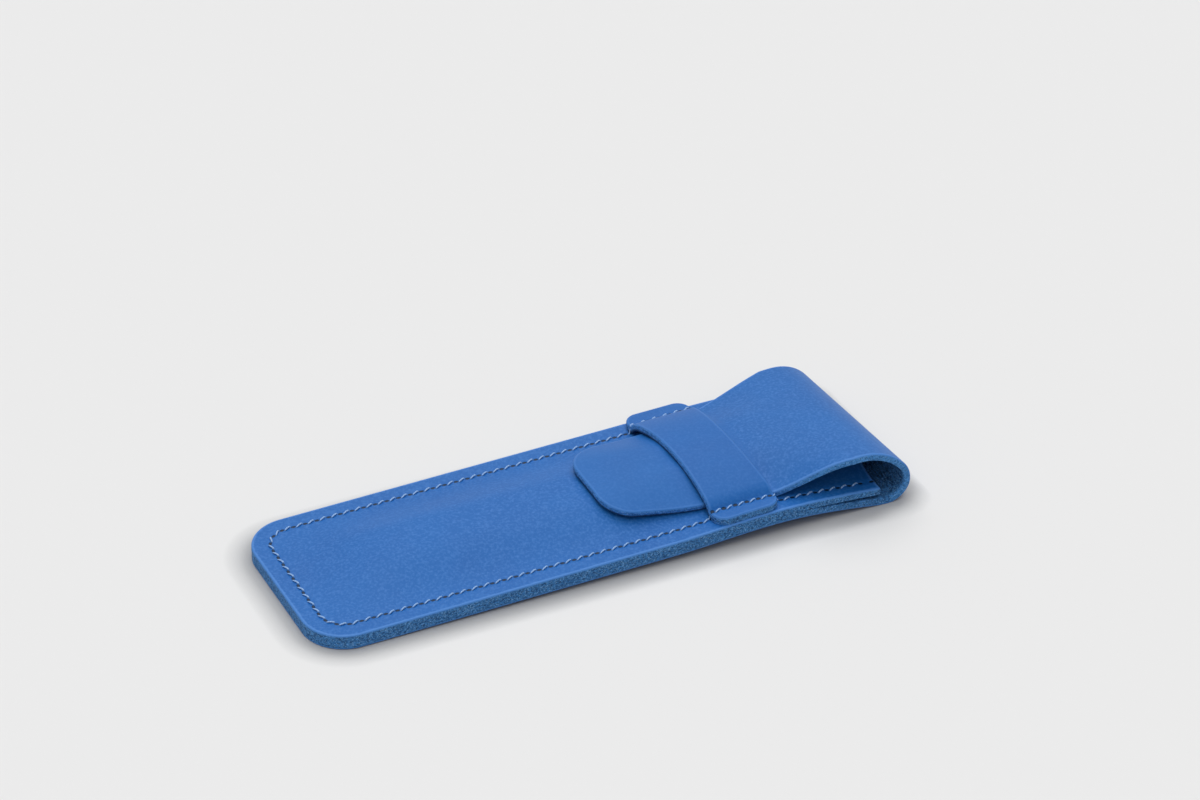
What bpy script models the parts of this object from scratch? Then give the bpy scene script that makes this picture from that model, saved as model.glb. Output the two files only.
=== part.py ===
"""Leather pen case: a flat stitched pocket with a flap that tucks under a keeper strap.

Back panel, fold, flap and tongue are one length of thick leather on the real case. Here that
length is divided across the fold, and a chain of hinges on the fold's outer face lets the
flap open. A front panel and a keeper strap are sewn to the back panel.

Pattern frame: x runs from the closed end to the mouth, y across the case from the near side
to the far side, z up from the back panel's outer face. One empty tilts the pattern frame, so
that the closed end and the fold both touch the surface that the case lies on.
"""

import math

import bmesh
import bpy
from mathutils import Matrix, Vector

# Driving sizes, in metres
BODY_LENGTH = 0.165
BODY_WIDTH = 0.0561
LEATHER = 0.0020
GAP = 0.0003
CORNER_RADIUS = 0.012
CROWN_HEIGHT = 0.0045
CROWN_RUN = 0.030
CROWN_LEVEL = 0.0040
MOUTH_RISE = 0.0012
STITCH_MARGIN = 0.0051
STITCH_PITCH = 0.00341
FLAP_OPENING = math.radians(180)
HINGE_COUNT = 6

# Body: how far it rises and sags towards the fold, on the near side and the far side
HUMP_NEAR = 0.00095
HUMP_FAR = 0.0
HUMP_TO_MOUTH = 0.033
HUMP_RUN = 0.030
SAG_RUN = 0.035
BACK_DROP = 0.0031
FRONT_DROP = 0.0015

# Seam: it drifts outward towards the mouth, and stops short of it
SEAM_DRIFT = 0.0014
SEAM_DRIFT_RUN = 0.060
SEAM_TO_MOUTH = 0.0043
THREAD_RADIUS = 0.00025
THREAD_ARCH = 0.00025
THREAD_SLANT = 0.00012
THREAD_STEP_MARGIN = 0.0015
CHANNEL_WIDTH = 0.0014
CHANNEL_DEPTH = 0.0009
CUTTER_OVERRUN = 0.0010

# Keeper strap: its foot is where it leaves the front panel and rises over the flap
KEEPER_WIDTH = 0.0193
KEEPER_TO_MOUTH = 0.0307
KEEPER_WAIST = 0.0013
KEEPER_SKEW = 0.0010
KEEPER_EAR_RADIUS = 0.0040
KEEPER_FOOT_SETBACK = 0.0053
KEEPER_FOOT_RADIUS = 0.0017
KEEPER_FOOT_ANGLE = math.radians(64)
KEEPER_SHOULDER_RADIUS = 0.0046
KEEPER_CROWN_ANGLE = math.radians(22.5)

# Fold: a bottom, a back and a top arc on each side, smaller on the far side
FOLD_SETBACK = 0.0017
APPROACH_RADIUS = 0.026
BOTTOM_RADIUS_NEAR = 0.0064
BOTTOM_RADIUS_FAR = 0.0048
BACK_RADIUS_NEAR = 0.0084
BACK_RADIUS_FAR = 0.0040
TOP_RADIUS_NEAR = 0.0186
TOP_RADIUS_FAR = 0.0139
BACK_ARC_START = math.radians(90)
TOP_ARC_START = math.radians(130)
TOP_ARC_END = math.radians(180)
FOLD_GAP = 0.0004

# Flap and tongue
FLAP_CLEARANCE = 0.0003
FLAP_ROOT_GAP = 0.0012
FLAP_SLOPE_NEAR = 0.32
FLAP_SLOPE_FAR = 0.10
FLAP_WIDE_TO_MOUTH = 0.0085
FLAP_INSET_AT_KEEPER = 0.00545
TONGUE_INSET_AT_KEEPER_NEAR = 0.00865
TONGUE_INSET_AT_KEEPER_FAR = 0.0107
TONGUE_INSET_AT_TIP_NEAR = 0.0127
TONGUE_INSET_AT_TIP_FAR = 0.0125
TONGUE_TO_MOUTH = 0.0757
TONGUE_CORNER_RADIUS_NEAR = 0.0080
TONGUE_CORNER_RADIUS_FAR = 0.0114
TONGUE_LIFT = 0.0003
TONGUE_STIFF_SHARE = 0.18

# Step counts for the lofts
CORNER_STEPS = 7
BODY_STEPS = 30
BODY_COLUMNS = 16
STRIP_COLUMNS = 10
CHUNK_STEPS = 4
FLAP_STEPS = 10
TONGUE_STEPS = 9
KEEPER_EAR_STEPS = 5
KEEPER_RISE_STEPS = 5
KEEPER_CROWN_STEPS = 16
KEEPER_COLUMNS = 5
SEAM_SAMPLES = 400
CHANNEL_STEPS = 96
THREAD_STEPS = 3
DERIVATIVE_STEP = 1e-4

HALF_WIDTH = BODY_WIDTH / 2
HUMP_X = BODY_LENGTH - HUMP_TO_MOUTH
FOLD_START = BODY_LENGTH - FOLD_SETBACK
HINGE_TURN = FLAP_OPENING / HINGE_COUNT
KEEPER_MOUTH_SIDE = BODY_LENGTH - KEEPER_TO_MOUTH
KEEPER_CLOSED_SIDE = KEEPER_MOUTH_SIDE - KEEPER_WIDTH
TONGUE_NECK = KEEPER_MOUTH_SIDE + KEEPER_SKEW / 2
FLAP_ROOT = KEEPER_MOUTH_SIDE + KEEPER_SKEW + FLAP_ROOT_GAP
FLAP_WIDE_X = BODY_LENGTH - FLAP_WIDE_TO_MOUTH
TONGUE_TIP = BODY_LENGTH - TONGUE_TO_MOUTH
TONGUE_CORNER_REACH = max(TONGUE_CORNER_RADIUS_NEAR, TONGUE_CORNER_RADIUS_FAR)


def mix(near, far, v):
    """Value at v, which runs from -1 on the near side to +1 on the far side."""
    return near + (far - near) * (v + 1) / 2


def smooth(t):
    """Ease from 0 to 1 as t goes from 0 to 1, flat beyond both ends."""
    t = min(max(t, 0), 1)
    return t * t * (3 - 2 * t)


def shares(count):
    """Even shares from 0 to 1, both included."""
    return [step / count for step in range(count + 1)]


def spread(start, end, count):
    """Even values from start to end, both included."""
    return [start + (end - start) * share for share in shares(count)]


def corner_inset(distance, radius):
    """How far a round corner draws an edge in, at a distance from the corner's square end."""
    reach = radius - min(max(distance, 0), radius)
    return radius - math.sqrt(radius ** 2 - reach ** 2)


# The body's surfaces

def body_half_width(x):
    """Half of the body's width: the closed end has round corners."""
    return HALF_WIDTH - corner_inset(x, CORNER_RADIUS)


def body_rise(x, v, drop):
    """Height that bending adds to a panel: a slow rise, then a sag towards the fold."""
    hump = mix(HUMP_NEAR, HUMP_FAR, v)
    if x <= HUMP_X:
        return hump * smooth((x - HUMP_X + HUMP_RUN) / HUMP_RUN)
    return hump - (hump + drop) * (1 - math.cos(math.pi / 2 * (x - HUMP_X) / SAG_RUN))


def seam_half_width(x):
    """Distance from the middle of the case to the side seams."""
    drift = SEAM_DRIFT * smooth((x - BODY_LENGTH + SEAM_DRIFT_RUN) / SEAM_DRIFT_RUN)
    return HALF_WIDTH - STITCH_MARGIN + drift


def flat_front(x, y):
    """Height of the front panel's outer face along its sewn edges."""
    return 2 * LEATHER + GAP + body_rise(x, y / HALF_WIDTH, FRONT_DROP)


def front_face(x, y):
    """Height of the front panel's outer face: a crown, level in the middle, with the
    pocket standing open a little at its mouth."""
    crown = CROWN_HEIGHT * smooth((x - STITCH_MARGIN) / CROWN_RUN)
    crown += MOUTH_RISE * smooth((x - HUMP_X) / HUMP_TO_MOUTH)
    seam = seam_half_width(x)
    return flat_front(x, y) + crown * smooth((seam - abs(y)) / (seam - CROWN_LEVEL))


# The long strip's outer face: back panel, fold, flap and tongue

def back_point(x, v):
    """Outer face of the back panel, up to where the fold starts."""
    return Vector((x, v * body_half_width(x), body_rise(x, v, BACK_DROP)))


def approach_angle(v):
    """Downward slope of the back panel where the fold starts."""
    hump = mix(HUMP_NEAR, HUMP_FAR, v)
    turn = math.pi / 2 / SAG_RUN
    return math.atan((hump + BACK_DROP) * turn * math.sin(turn * (FOLD_START - HUMP_X)))


def arc_move(radius, start, end):
    """Move along x and z while the heading turns from start to end on an arc."""
    return Vector((radius * (math.sin(end) - math.sin(start)), 0,
                   radius * (math.cos(start) - math.cos(end))))


def approach_side(share, side):
    """Point of the shallow arc that levels the sag out, on one side of the case."""
    start = -approach_angle(side)
    start_point = back_point(FOLD_START, side)
    return start_point + arc_move(APPROACH_RADIUS, start, start * (1 - share))


def approach_point(share, v):
    """Outer face of the shallow arc: straight lines join its near and far sides."""
    return approach_side(share, -1).lerp(approach_side(share, 1), (v + 1) / 2)


def roll_side(heading, side):
    """Point of the fold's profile at a heading, on one side of the case."""
    point = approach_side(1, side)
    bottom, back, top = ((BOTTOM_RADIUS_NEAR, BACK_RADIUS_NEAR, TOP_RADIUS_NEAR) if side < 0
                         else (BOTTOM_RADIUS_FAR, BACK_RADIUS_FAR, TOP_RADIUS_FAR))
    point += arc_move(bottom, 0, min(heading, BACK_ARC_START))
    if heading > BACK_ARC_START:
        point += arc_move(back, BACK_ARC_START, min(heading, TOP_ARC_START))
    if heading > TOP_ARC_START:
        point += arc_move(top, TOP_ARC_START, heading)
    return point


def roll_point(heading, v):
    """Outer face of the fold: straight lines join the two sides at equal headings."""
    return roll_side(heading, -1).lerp(roll_side(heading, 1), (v + 1) / 2)


def roll_radius(heading):
    """The smaller of the fold's radii at a heading."""
    if heading < BACK_ARC_START:
        return min(BOTTOM_RADIUS_NEAR, BOTTOM_RADIUS_FAR)
    if heading < TOP_ARC_START:
        return min(BACK_RADIUS_NEAR, BACK_RADIUS_FAR)
    return min(TOP_RADIUS_NEAR, TOP_RADIUS_FAR)


def tongue_side(side):
    """Insets at the keeper and at the tip, and corner radius, on one side of the tongue."""
    if side < 0:
        return TONGUE_INSET_AT_KEEPER_NEAR, TONGUE_INSET_AT_TIP_NEAR, TONGUE_CORNER_RADIUS_NEAR
    return TONGUE_INSET_AT_KEEPER_FAR, TONGUE_INSET_AT_TIP_FAR, TONGUE_CORNER_RADIUS_FAR


def flap_reach(x, side):
    """How far the flap reaches to one side: full at the fold, less at the keeper and tongue."""
    if x >= FLAP_ROOT:
        share = min((x - FLAP_ROOT) / (FLAP_WIDE_X - FLAP_ROOT), 1)
        return HALF_WIDTH - FLAP_INSET_AT_KEEPER * (1 - share)
    at_keeper, at_tip, radius = tongue_side(side)
    if x >= TONGUE_NECK:
        share = smooth((x - TONGUE_NECK) / (FLAP_ROOT - TONGUE_NECK))
        return HALF_WIDTH - mix(at_keeper, FLAP_INSET_AT_KEEPER, 2 * share - 1)
    share = min((x - TONGUE_TIP) / (KEEPER_CLOSED_SIDE - TONGUE_TIP), 1)
    inset = at_tip + (at_keeper - at_tip) * share
    return HALF_WIDTH - inset - corner_inset(x - TONGUE_TIP, radius)


def flap_place(x, v):
    """Place across the case at v on the flap, whose tongue lies a little askew."""
    return mix(-flap_reach(x, -1), flap_reach(x, 1), v)


def tucked_face(x, y):
    """Height of the outer face of leather that lies on the front panel."""
    return front_face(x, y) + FLAP_CLEARANCE + LEATHER


def flap_point(share, v):
    """Outer face of the flap, from the top of the fold to beside the keeper."""
    top = roll_point(TOP_ARC_END, v)
    x = top.x + (FLAP_ROOT - top.x) * share
    y = flap_place(x, v)
    t = 1 - share
    ease = smooth(t)
    slope = mix(FLAP_SLOPE_NEAR, FLAP_SLOPE_FAR, v)
    start = tucked_face(FLAP_ROOT, flap_place(FLAP_ROOT, v))
    bend = t * share * share * (top.x - FLAP_ROOT) * slope
    return Vector((x, y, start * (1 - ease) + top.z * ease + bend))


def tongue_point(run, v):
    """Outer face of the tongue, a run away from the flap: its free end is stiffer than the
    crown that it lies on, so its sides stand off a little."""
    x = FLAP_ROOT - run
    y = flap_place(x, v)
    free = smooth((KEEPER_CLOSED_SIDE - x) / (KEEPER_CLOSED_SIDE - TONGUE_TIP))
    height = tucked_face(x, y * (1 - TONGUE_STIFF_SHARE * free))
    return Vector((x, y, height + TONGUE_LIFT * free))


def inward(surface, value, v):
    """Unit normal of the strip's outer face, pointing into the leather."""
    along = surface(value + DERIVATIVE_STEP, v) - surface(value - DERIVATIVE_STEP, v)
    across = surface(value, v + DERIVATIVE_STEP) - surface(value, v - DERIVATIVE_STEP)
    return along.cross(across).normalized()


# Keeper strap

def keeper_rise(y):
    """Rise of the strap's middle layer over its ears: fillet, shoulder, then a wide crown."""
    foot = HALF_WIDTH - KEEPER_FOOT_SETBACK
    inset = foot - abs(y)
    if inset <= 0:
        return 0
    steep = math.sin(KEEPER_FOOT_ANGLE)
    gentle = math.sin(KEEPER_CROWN_ANGLE)
    fillet_span = KEEPER_FOOT_RADIUS * steep
    if inset < fillet_span:
        return KEEPER_FOOT_RADIUS - math.sqrt(KEEPER_FOOT_RADIUS ** 2 - inset ** 2)
    rise = KEEPER_FOOT_RADIUS * (1 - math.cos(KEEPER_FOOT_ANGLE))
    shoulder_span = KEEPER_SHOULDER_RADIUS * (steep - gentle)
    past = min(inset - fillet_span, shoulder_span)
    angle = math.asin(steep - past / KEEPER_SHOULDER_RADIUS)
    rise += KEEPER_SHOULDER_RADIUS * (math.cos(angle) - math.cos(KEEPER_FOOT_ANGLE))
    if inset <= fillet_span + shoulder_span:
        return rise
    crown_radius = (foot - fillet_span - shoulder_span) / gentle
    angle = math.asin(abs(y) / crown_radius)
    return rise + crown_radius * (math.cos(angle) - math.cos(KEEPER_CROWN_ANGLE))


def keeper_span(y):
    """The strap's closed-end side and mouth side at y: waisted, with round ear corners."""
    foot = HALF_WIDTH - KEEPER_FOOT_SETBACK
    waist = KEEPER_WAIST * max(1 - (y / foot) ** 2, 0)
    corner = corner_inset(HALF_WIDTH - abs(y), KEEPER_EAR_RADIUS)
    skew = KEEPER_SKEW * y / HALF_WIDTH
    return (KEEPER_CLOSED_SIDE - skew + waist + corner,
            KEEPER_MOUTH_SIDE - skew - waist - corner)


def keeper_point(share, y):
    """Middle layer of the strap."""
    closed_side, mouth_side = keeper_span(y)
    x = closed_side + (mouth_side - closed_side) * share
    return Vector((x, y, flat_front(x, y) + GAP + LEATHER / 2 + keeper_rise(y)))


def keeper_stations():
    """Places across the case where the strap's loft has a row, near side first."""
    foot = HALF_WIDTH - KEEPER_FOOT_SETBACK
    top_of_rise = foot - KEEPER_FOOT_RADIUS * math.sin(KEEPER_FOOT_ANGLE) \
        - KEEPER_SHOULDER_RADIUS * (math.sin(KEEPER_FOOT_ANGLE) - math.sin(KEEPER_CROWN_ANGLE))
    ear = [HALF_WIDTH - KEEPER_EAR_RADIUS * (1 - math.cos(math.pi / 2 * share))
           for share in shares(KEEPER_EAR_STEPS)]
    rise = spread(HALF_WIDTH - KEEPER_EAR_RADIUS, top_of_rise, 2 * KEEPER_RISE_STEPS)[1:]
    crown = spread(top_of_rise, -top_of_rise, KEEPER_CROWN_STEPS)[1:-1]
    side = ear + rise
    return [-y for y in side] + [-y for y in crown] + side[::-1]


# Mesh builders

def new_object(name, mesh, material, collection):
    """Object in a collection, with one material."""
    thing = bpy.data.objects.new(name, mesh)
    mesh.materials.append(material)
    collection.objects.link(thing)
    return thing


def finished_mesh(name, maker):
    """Mesh data from a bmesh, with its faces pointing out and shaded smooth."""
    bmesh.ops.recalc_face_normals(maker, faces=maker.faces)
    mesh = bpy.data.meshes.new(name)
    maker.to_mesh(mesh)
    maker.free()
    mesh.shade_smooth()
    mesh.set_sharp_from_angle(angle=math.radians(35))
    return mesh


def add_grid(maker, rows):
    """Quads between rows of points; gives back the rows of vertices."""
    grid = [[maker.verts.new(point) for point in row] for row in rows]
    for first, second in zip(grid, grid[1:]):
        for column in range(len(first) - 1):
            maker.faces.new((first[column], first[column + 1],
                             second[column + 1], second[column]))
    return grid


def outline(grid):
    """Vertices round the edge of a grid, in order."""
    return (grid[0] + [row[-1] for row in grid[1:-1]] + grid[-1][::-1]
            + [row[0] for row in grid[-2:0:-1]])


def sheet(name, rows, offset, material, collection):
    """Open loft thickened to one layer of leather by Solidify."""
    maker = bmesh.new()
    add_grid(maker, rows)
    bmesh.ops.recalc_face_normals(maker, faces=maker.faces)
    if sum(face.normal.z for face in maker.faces) < 0:
        bmesh.ops.reverse_faces(maker, faces=maker.faces)
    mesh = bpy.data.meshes.new(name)
    maker.to_mesh(mesh)
    maker.free()
    mesh.shade_smooth()
    thing = new_object(name, mesh, material, collection)
    layer = thing.modifiers.new("Leather", "SOLIDIFY")
    layer.thickness = LEATHER
    layer.offset = offset
    layer.use_even_offset = True
    return thing


def strip_piece(name, stations, material, collection):
    """One closed length of the long strip, between its unlike cross sections.

    Each station is a surface function and the value where a row lies on it.
    """
    columns = [2 * share - 1 for share in shares(STRIP_COLUMNS)]
    outer = [[surface(value, v) for v in columns] for surface, value in stations]
    inner = [[surface(value, v) + LEATHER * inward(surface, value, v) for v in columns]
             for surface, value in stations]
    maker = bmesh.new()
    outer_edge = outline(add_grid(maker, outer))
    inner_edge = outline(add_grid(maker, inner))
    count = len(outer_edge)
    for index in range(count):
        following = (index + 1) % count
        maker.faces.new((outer_edge[index], outer_edge[following],
                         inner_edge[following], inner_edge[index]))
    return new_object(name, finished_mesh(name, maker), material, collection)


# Seam

def seam_path():
    """Points along the seam: near side, closed end, far side, with their arc lengths."""
    radius = CORNER_RADIUS - STITCH_MARGIN
    end = BODY_LENGTH - SEAM_TO_MOUTH
    side = [(x, -seam_half_width(x)) for x in spread(end, CORNER_RADIUS, SEAM_SAMPLES)]
    corner = [(CORNER_RADIUS - radius * math.sin(math.pi / 2 * share),
               -(HALF_WIDTH - CORNER_RADIUS + radius * math.cos(math.pi / 2 * share)))
              for share in shares(SEAM_SAMPLES)]
    half = side + corner[1:]
    points = half + [(x, -y) for x, y in half[::-1]]
    lengths = [0]
    for (x0, y0), (x1, y1) in zip(points, points[1:]):
        lengths.append(lengths[-1] + math.hypot(x1 - x0, y1 - y0))
    return points, lengths


def seam_places(count):
    """Evenly spaced points of the seam, count steps from its first end to its last."""
    points, lengths = seam_path()
    places = []
    index = 0
    for share in shares(count):
        distance = share * lengths[-1]
        while index < len(lengths) - 2 and lengths[index + 1] < distance:
            index += 1
        span = lengths[index + 1] - lengths[index]
        part = min((distance - lengths[index]) / span, 1)
        (x0, y0), (x1, y1) = points[index], points[index + 1]
        places.append((x0 + (x1 - x0) * part, y0 + (y1 - y0) * part))
    return places


def stitch_count():
    """Number of stitches in the seam."""
    return round(seam_path()[1][-1] / STITCH_PITCH)


def sewn_face(x, y):
    """Height of what the front thread lies on: the front panel, or a keeper ear."""
    closed_side, mouth_side = keeper_span(y)
    if closed_side - THREAD_STEP_MARGIN < x < mouth_side + THREAD_STEP_MARGIN:
        return flat_front(x, y) + GAP + LEATHER
    return front_face(x, y)


def thread(name, level, arch, slant, material, collection):
    """Unbroken thread along the seam: it dips at each hole and slants between holes."""
    places = seam_places(stitch_count() * THREAD_STEPS)
    curve = bpy.data.curves.new(name, "CURVE")
    curve.dimensions = "3D"
    curve.bevel_depth = THREAD_RADIUS
    curve.bevel_resolution = 1
    curve.use_fill_caps = True
    spline = curve.splines.new("POLY")
    spline.points.add(len(places) - 1)
    for index, (x, y) in enumerate(places):
        before, after = places[max(index - 1, 0)], places[min(index + 1, len(places) - 1)]
        run = Vector((after[0] - before[0], after[1] - before[1], 0)).normalized()
        phase = (index % THREAD_STEPS) / THREAD_STEPS
        sideways = slant * math.sin(2 * math.pi * phase)
        rise = arch if index % THREAD_STEPS else 0
        spline.points[index].co = (x - run.y * sideways, y + run.x * sideways,
                                   level(x, y) + rise, 1)
    return new_object(name, curve, material, collection)


def channel_cutter(collection, material):
    """Closed loft along the seam that cuts the channel for the back thread."""
    maker = bmesh.new()
    places = seam_places(CHANNEL_STEPS)
    rings = []
    for index, (x, y) in enumerate(places):
        before = places[max(index - 1, 0)]
        after = places[min(index + 1, CHANNEL_STEPS)]
        run = Vector((after[0] - before[0], after[1] - before[1], 0)).normalized()
        if index in (0, CHANNEL_STEPS):
            x += run.x * (CHANNEL_WIDTH / 2) * (1 if index else -1)
        across = Vector((-run.y, run.x, 0)) * CHANNEL_WIDTH / 2
        face = body_rise(x, y / HALF_WIDTH, BACK_DROP)
        low = Vector((x, y, face - CUTTER_OVERRUN))
        high = Vector((x, y, face + CHANNEL_DEPTH))
        corners = (low - across, low + across, high + across, high - across)
        rings.append([maker.verts.new(corner) for corner in corners])
    for first, second in zip(rings, rings[1:]):
        for side in range(4):
            maker.faces.new((first[side], first[side - 1], second[side - 1], second[side]))
    maker.faces.new(rings[0])
    maker.faces.new(rings[-1])
    cutter = new_object("channel_cutter", finished_mesh("channel_cutter", maker), material,
                        collection)
    cutter.hide_render = True
    cutter.display_type = "WIRE"
    return cutter


# Materials and placing

def principled(name, colour, roughness):
    """Plain Principled material."""
    material = bpy.data.materials.new(name)
    material.use_nodes = True
    shader = material.node_tree.nodes["Principled BSDF"]
    shader.inputs["Base Color"].default_value = (*colour, 1)
    shader.inputs["Roughness"].default_value = roughness
    shader.inputs["Metallic"].default_value = 0
    material.diffuse_color = (*colour, 1)
    return material


def empty(name, parent, location):
    """Empty that places or carries pieces."""
    thing = bpy.data.objects.new(name, None)
    thing.location = location
    thing.parent = parent
    bpy.context.scene.collection.objects.link(thing)
    return thing


def body_stations():
    """Places along the body where its lofts have a row."""
    corner = [CORNER_RADIUS * (1 - math.cos(math.pi / 2 * share))
              for share in shares(CORNER_STEPS)]
    return corner, BODY_STEPS


def hinge_heading(index):
    """Heading of the fold where a hinge lies, counted from 0."""
    return (index + 0.5) * HINGE_TURN


def hinge_line(index):
    """A hinge's middle and its direction, on the fold's outer face."""
    near, far = roll_point(hinge_heading(index), -1), roll_point(hinge_heading(index), 1)
    return (near + far) / 2, (far - near).normalized()


def chunk_stations(start, end):
    """Rows of one length of the fold, held clear of its neighbours at both hinges."""
    first = start + FOLD_GAP / 2 / roll_radius(start)
    last = end - FOLD_GAP / 2 / roll_radius(end)
    return [(roll_point, heading) for heading in spread(first, last, CHUNK_STEPS)]


def back_panel_stations():
    """Rows of the back panel, with the first part of the fold."""
    corner, steps = body_stations()
    along = [(back_point, x) for x in corner]
    along += [(back_point, x) for x in spread(CORNER_RADIUS, FOLD_START, steps)[1:]]
    along += [(approach_point, share) for share in shares(CHUNK_STEPS)[1:]]
    last = hinge_heading(0) - FOLD_GAP / 2 / roll_radius(0)
    along += [(roll_point, heading) for heading in spread(0, last, CHUNK_STEPS)[1:]]
    return along


def flap_stations():
    """Rows of the flap, from the last hinge to beside the keeper."""
    start = hinge_heading(HINGE_COUNT - 1)
    first = start + FOLD_GAP / 2 / roll_radius(start)
    along = [(roll_point, heading) for heading in spread(first, TOP_ARC_END, CHUNK_STEPS)]
    return along + [(flap_point, share) for share in shares(FLAP_STEPS)[1:]]


def tongue_stations():
    """Rows of the tongue, from beside the keeper to its tip, dense at the round corners."""
    first = FLAP_ROOT - FOLD_GAP
    corner_start = TONGUE_TIP + TONGUE_CORNER_REACH
    along = spread(first, TONGUE_NECK, CHUNK_STEPS)
    along += spread(TONGUE_NECK, corner_start, TONGUE_STEPS)[1:]
    along += [TONGUE_TIP + TONGUE_CORNER_REACH * (1 - math.sin(math.pi / 2 * share))
              for share in shares(CORNER_STEPS)[1:]]
    return [(tongue_point, FLAP_ROOT - x) for x in along]


def clear_scene():
    """Remove what the scene holds."""
    for thing in list(bpy.data.objects):
        bpy.data.objects.remove(thing, do_unlink=True)


def build():
    """Make every piece of the case."""
    clear_scene()
    parts = bpy.data.collections.new("Leather pen case")
    cutters = bpy.data.collections.new("Cutters")
    for collection in (parts, cutters):
        bpy.context.scene.collection.children.link(collection)
    panel_leather = principled("Blue panel leather", (0.055, 0.170, 0.480), 0.55)
    flap_leather = principled("Blue flap leather", (0.060, 0.180, 0.480), 0.52)
    front_cord = principled("Pale needle thread", (0.300, 0.380, 0.680), 0.60)
    back_cord = principled("Pale bobbin thread", (0.290, 0.370, 0.660), 0.60)

    bottom = min(approach_side(1, -1), approach_side(1, 1), key=lambda point: point.z)
    tilt = math.atan2(-bottom.z, bottom.x)
    reach = max(roll_side(BACK_ARC_START, side).x for side in (-1, 1))
    base = empty("case_tilt", None, (-reach * math.cos(tilt) / 2, 0, 0))
    base.rotation_euler = (0, -tilt, 0)

    corner, steps = body_stations()
    across = [2 * share - 1 for share in shares(BODY_COLUMNS)]
    front_xs = corner + spread(CORNER_RADIUS, BODY_LENGTH, steps)[1:]
    front_rows = [[Vector((x, v * body_half_width(x), front_face(x, v * body_half_width(x))))
                   for v in across] for x in front_xs]
    front = sheet("front_panel", front_rows, -1, panel_leather, parts)
    front.parent = base

    keeper_rows = [[keeper_point(share, y) for share in shares(KEEPER_COLUMNS)]
                   for y in keeper_stations()]
    keeper = sheet("keeper_strap", keeper_rows, 0, panel_leather, parts)
    keeper.parent = base

    back = strip_piece("back_panel", back_panel_stations(), panel_leather, parts)
    back.parent = base
    cutter = channel_cutter(cutters, back_cord)
    cutter.parent = base
    channel = back.modifiers.new("Stitch channel", "BOOLEAN")
    channel.object = cutter

    needle = thread("front_thread", lambda x, y: sewn_face(x, y) + GAP + THREAD_RADIUS,
                    THREAD_ARCH, THREAD_SLANT, front_cord, parts)
    needle.parent = base
    recess = CHANNEL_DEPTH - GAP - THREAD_RADIUS
    bobbin = thread("back_thread",
                    lambda x, y: body_rise(x, y / HALF_WIDTH, BACK_DROP) + recess,
                    0, THREAD_SLANT, back_cord, parts)
    bobbin.parent = base

    carrier, origin = base, Vector((0, 0, 0))
    for index in range(HINGE_COUNT):
        middle, axis = hinge_line(index)
        carrier = empty(f"hinge_{index + 1}", carrier, middle - origin)
        origin = middle
        if index < HINGE_COUNT - 1:
            rows = chunk_stations(hinge_heading(index), hinge_heading(index + 1))
            pieces = [strip_piece(f"fold_{index + 1}", rows, flap_leather, parts)]
        else:
            pieces = [strip_piece("flap_cover", flap_stations(), flap_leather, parts),
                      strip_piece("flap_tongue", tongue_stations(), flap_leather, parts)]
        for piece in pieces:
            piece.parent = carrier
            piece.location = -origin
        world = Matrix.Translation(base.location) @ base.rotation_euler.to_matrix().to_4x4()
        place, line = world @ middle, base.rotation_euler.to_matrix() @ axis
        print(f"hinge {index + 1} at", [round(value, 6) for value in place],
              "along", [round(value, 6) for value in line])
    print("tilt in degrees", round(math.degrees(tilt), 4), "stitches", stitch_count())


build()
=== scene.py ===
"""Looks of the leather pen case: one long strip of leather, a front panel, a keeper strap
and two lines of stitches, with the camera, the lamps and the floor.

Pattern frame: x runs from the closed end to the mouth, y across the case from the near side
to the far side, z up from the back panel's outer face. to_world() puts it where the case lies.
"""

import math

import bmesh
import bpy
from mathutils import Matrix, Vector


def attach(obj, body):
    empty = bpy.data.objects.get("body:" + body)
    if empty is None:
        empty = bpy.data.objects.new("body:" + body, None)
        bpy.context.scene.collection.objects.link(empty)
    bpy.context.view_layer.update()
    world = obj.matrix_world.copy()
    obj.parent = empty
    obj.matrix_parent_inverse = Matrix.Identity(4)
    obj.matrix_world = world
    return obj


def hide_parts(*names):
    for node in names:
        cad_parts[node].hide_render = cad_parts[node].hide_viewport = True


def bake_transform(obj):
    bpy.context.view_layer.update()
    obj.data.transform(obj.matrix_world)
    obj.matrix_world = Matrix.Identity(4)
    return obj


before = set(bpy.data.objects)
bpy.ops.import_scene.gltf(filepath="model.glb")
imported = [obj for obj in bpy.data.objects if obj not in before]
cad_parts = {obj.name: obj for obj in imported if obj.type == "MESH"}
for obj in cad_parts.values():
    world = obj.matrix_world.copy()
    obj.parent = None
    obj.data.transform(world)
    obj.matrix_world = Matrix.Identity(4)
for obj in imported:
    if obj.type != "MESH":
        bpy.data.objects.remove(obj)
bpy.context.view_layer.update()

# Sizes of the case in metres, as the solids have them, apart from the strap's bow, foot and
# near ear and the flap's neck
BODY_LENGTH = 0.165
BODY_WIDTH = 0.0561
LEATHER = 0.0020
GAP = 0.0003
CORNER_RADIUS = 0.012
CROWN_HEIGHT = 0.0045
CROWN_RUN = 0.030
CROWN_LEVEL = 0.0040
MOUTH_RISE = 0.0012
STITCH_MARGIN = 0.0051
STITCH_PITCH = 0.00341
HUMP_NEAR = 0.00095
HUMP_FAR = 0.0
HUMP_TO_MOUTH = 0.033
HUMP_RUN = 0.030
SAG_RUN = 0.035
BACK_DROP = 0.0031
FRONT_DROP = 0.0015
SEAM_DRIFT = 0.0014
SEAM_DRIFT_RUN = 0.060
SEAM_TO_MOUTH = 0.0043
KEEPER_WIDTH = 0.0193
KEEPER_TO_MOUTH = 0.0307
KEEPER_WAIST_CLOSED = 0.0001
KEEPER_WAIST_MOUTH = 0.0023
KEEPER_NEAR_INSET = 0.0005
KEEPER_SKEW = 0.0010
KEEPER_EAR_RADIUS = 0.0040
KEEPER_FOOT_SETBACK = 0.0043
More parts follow.
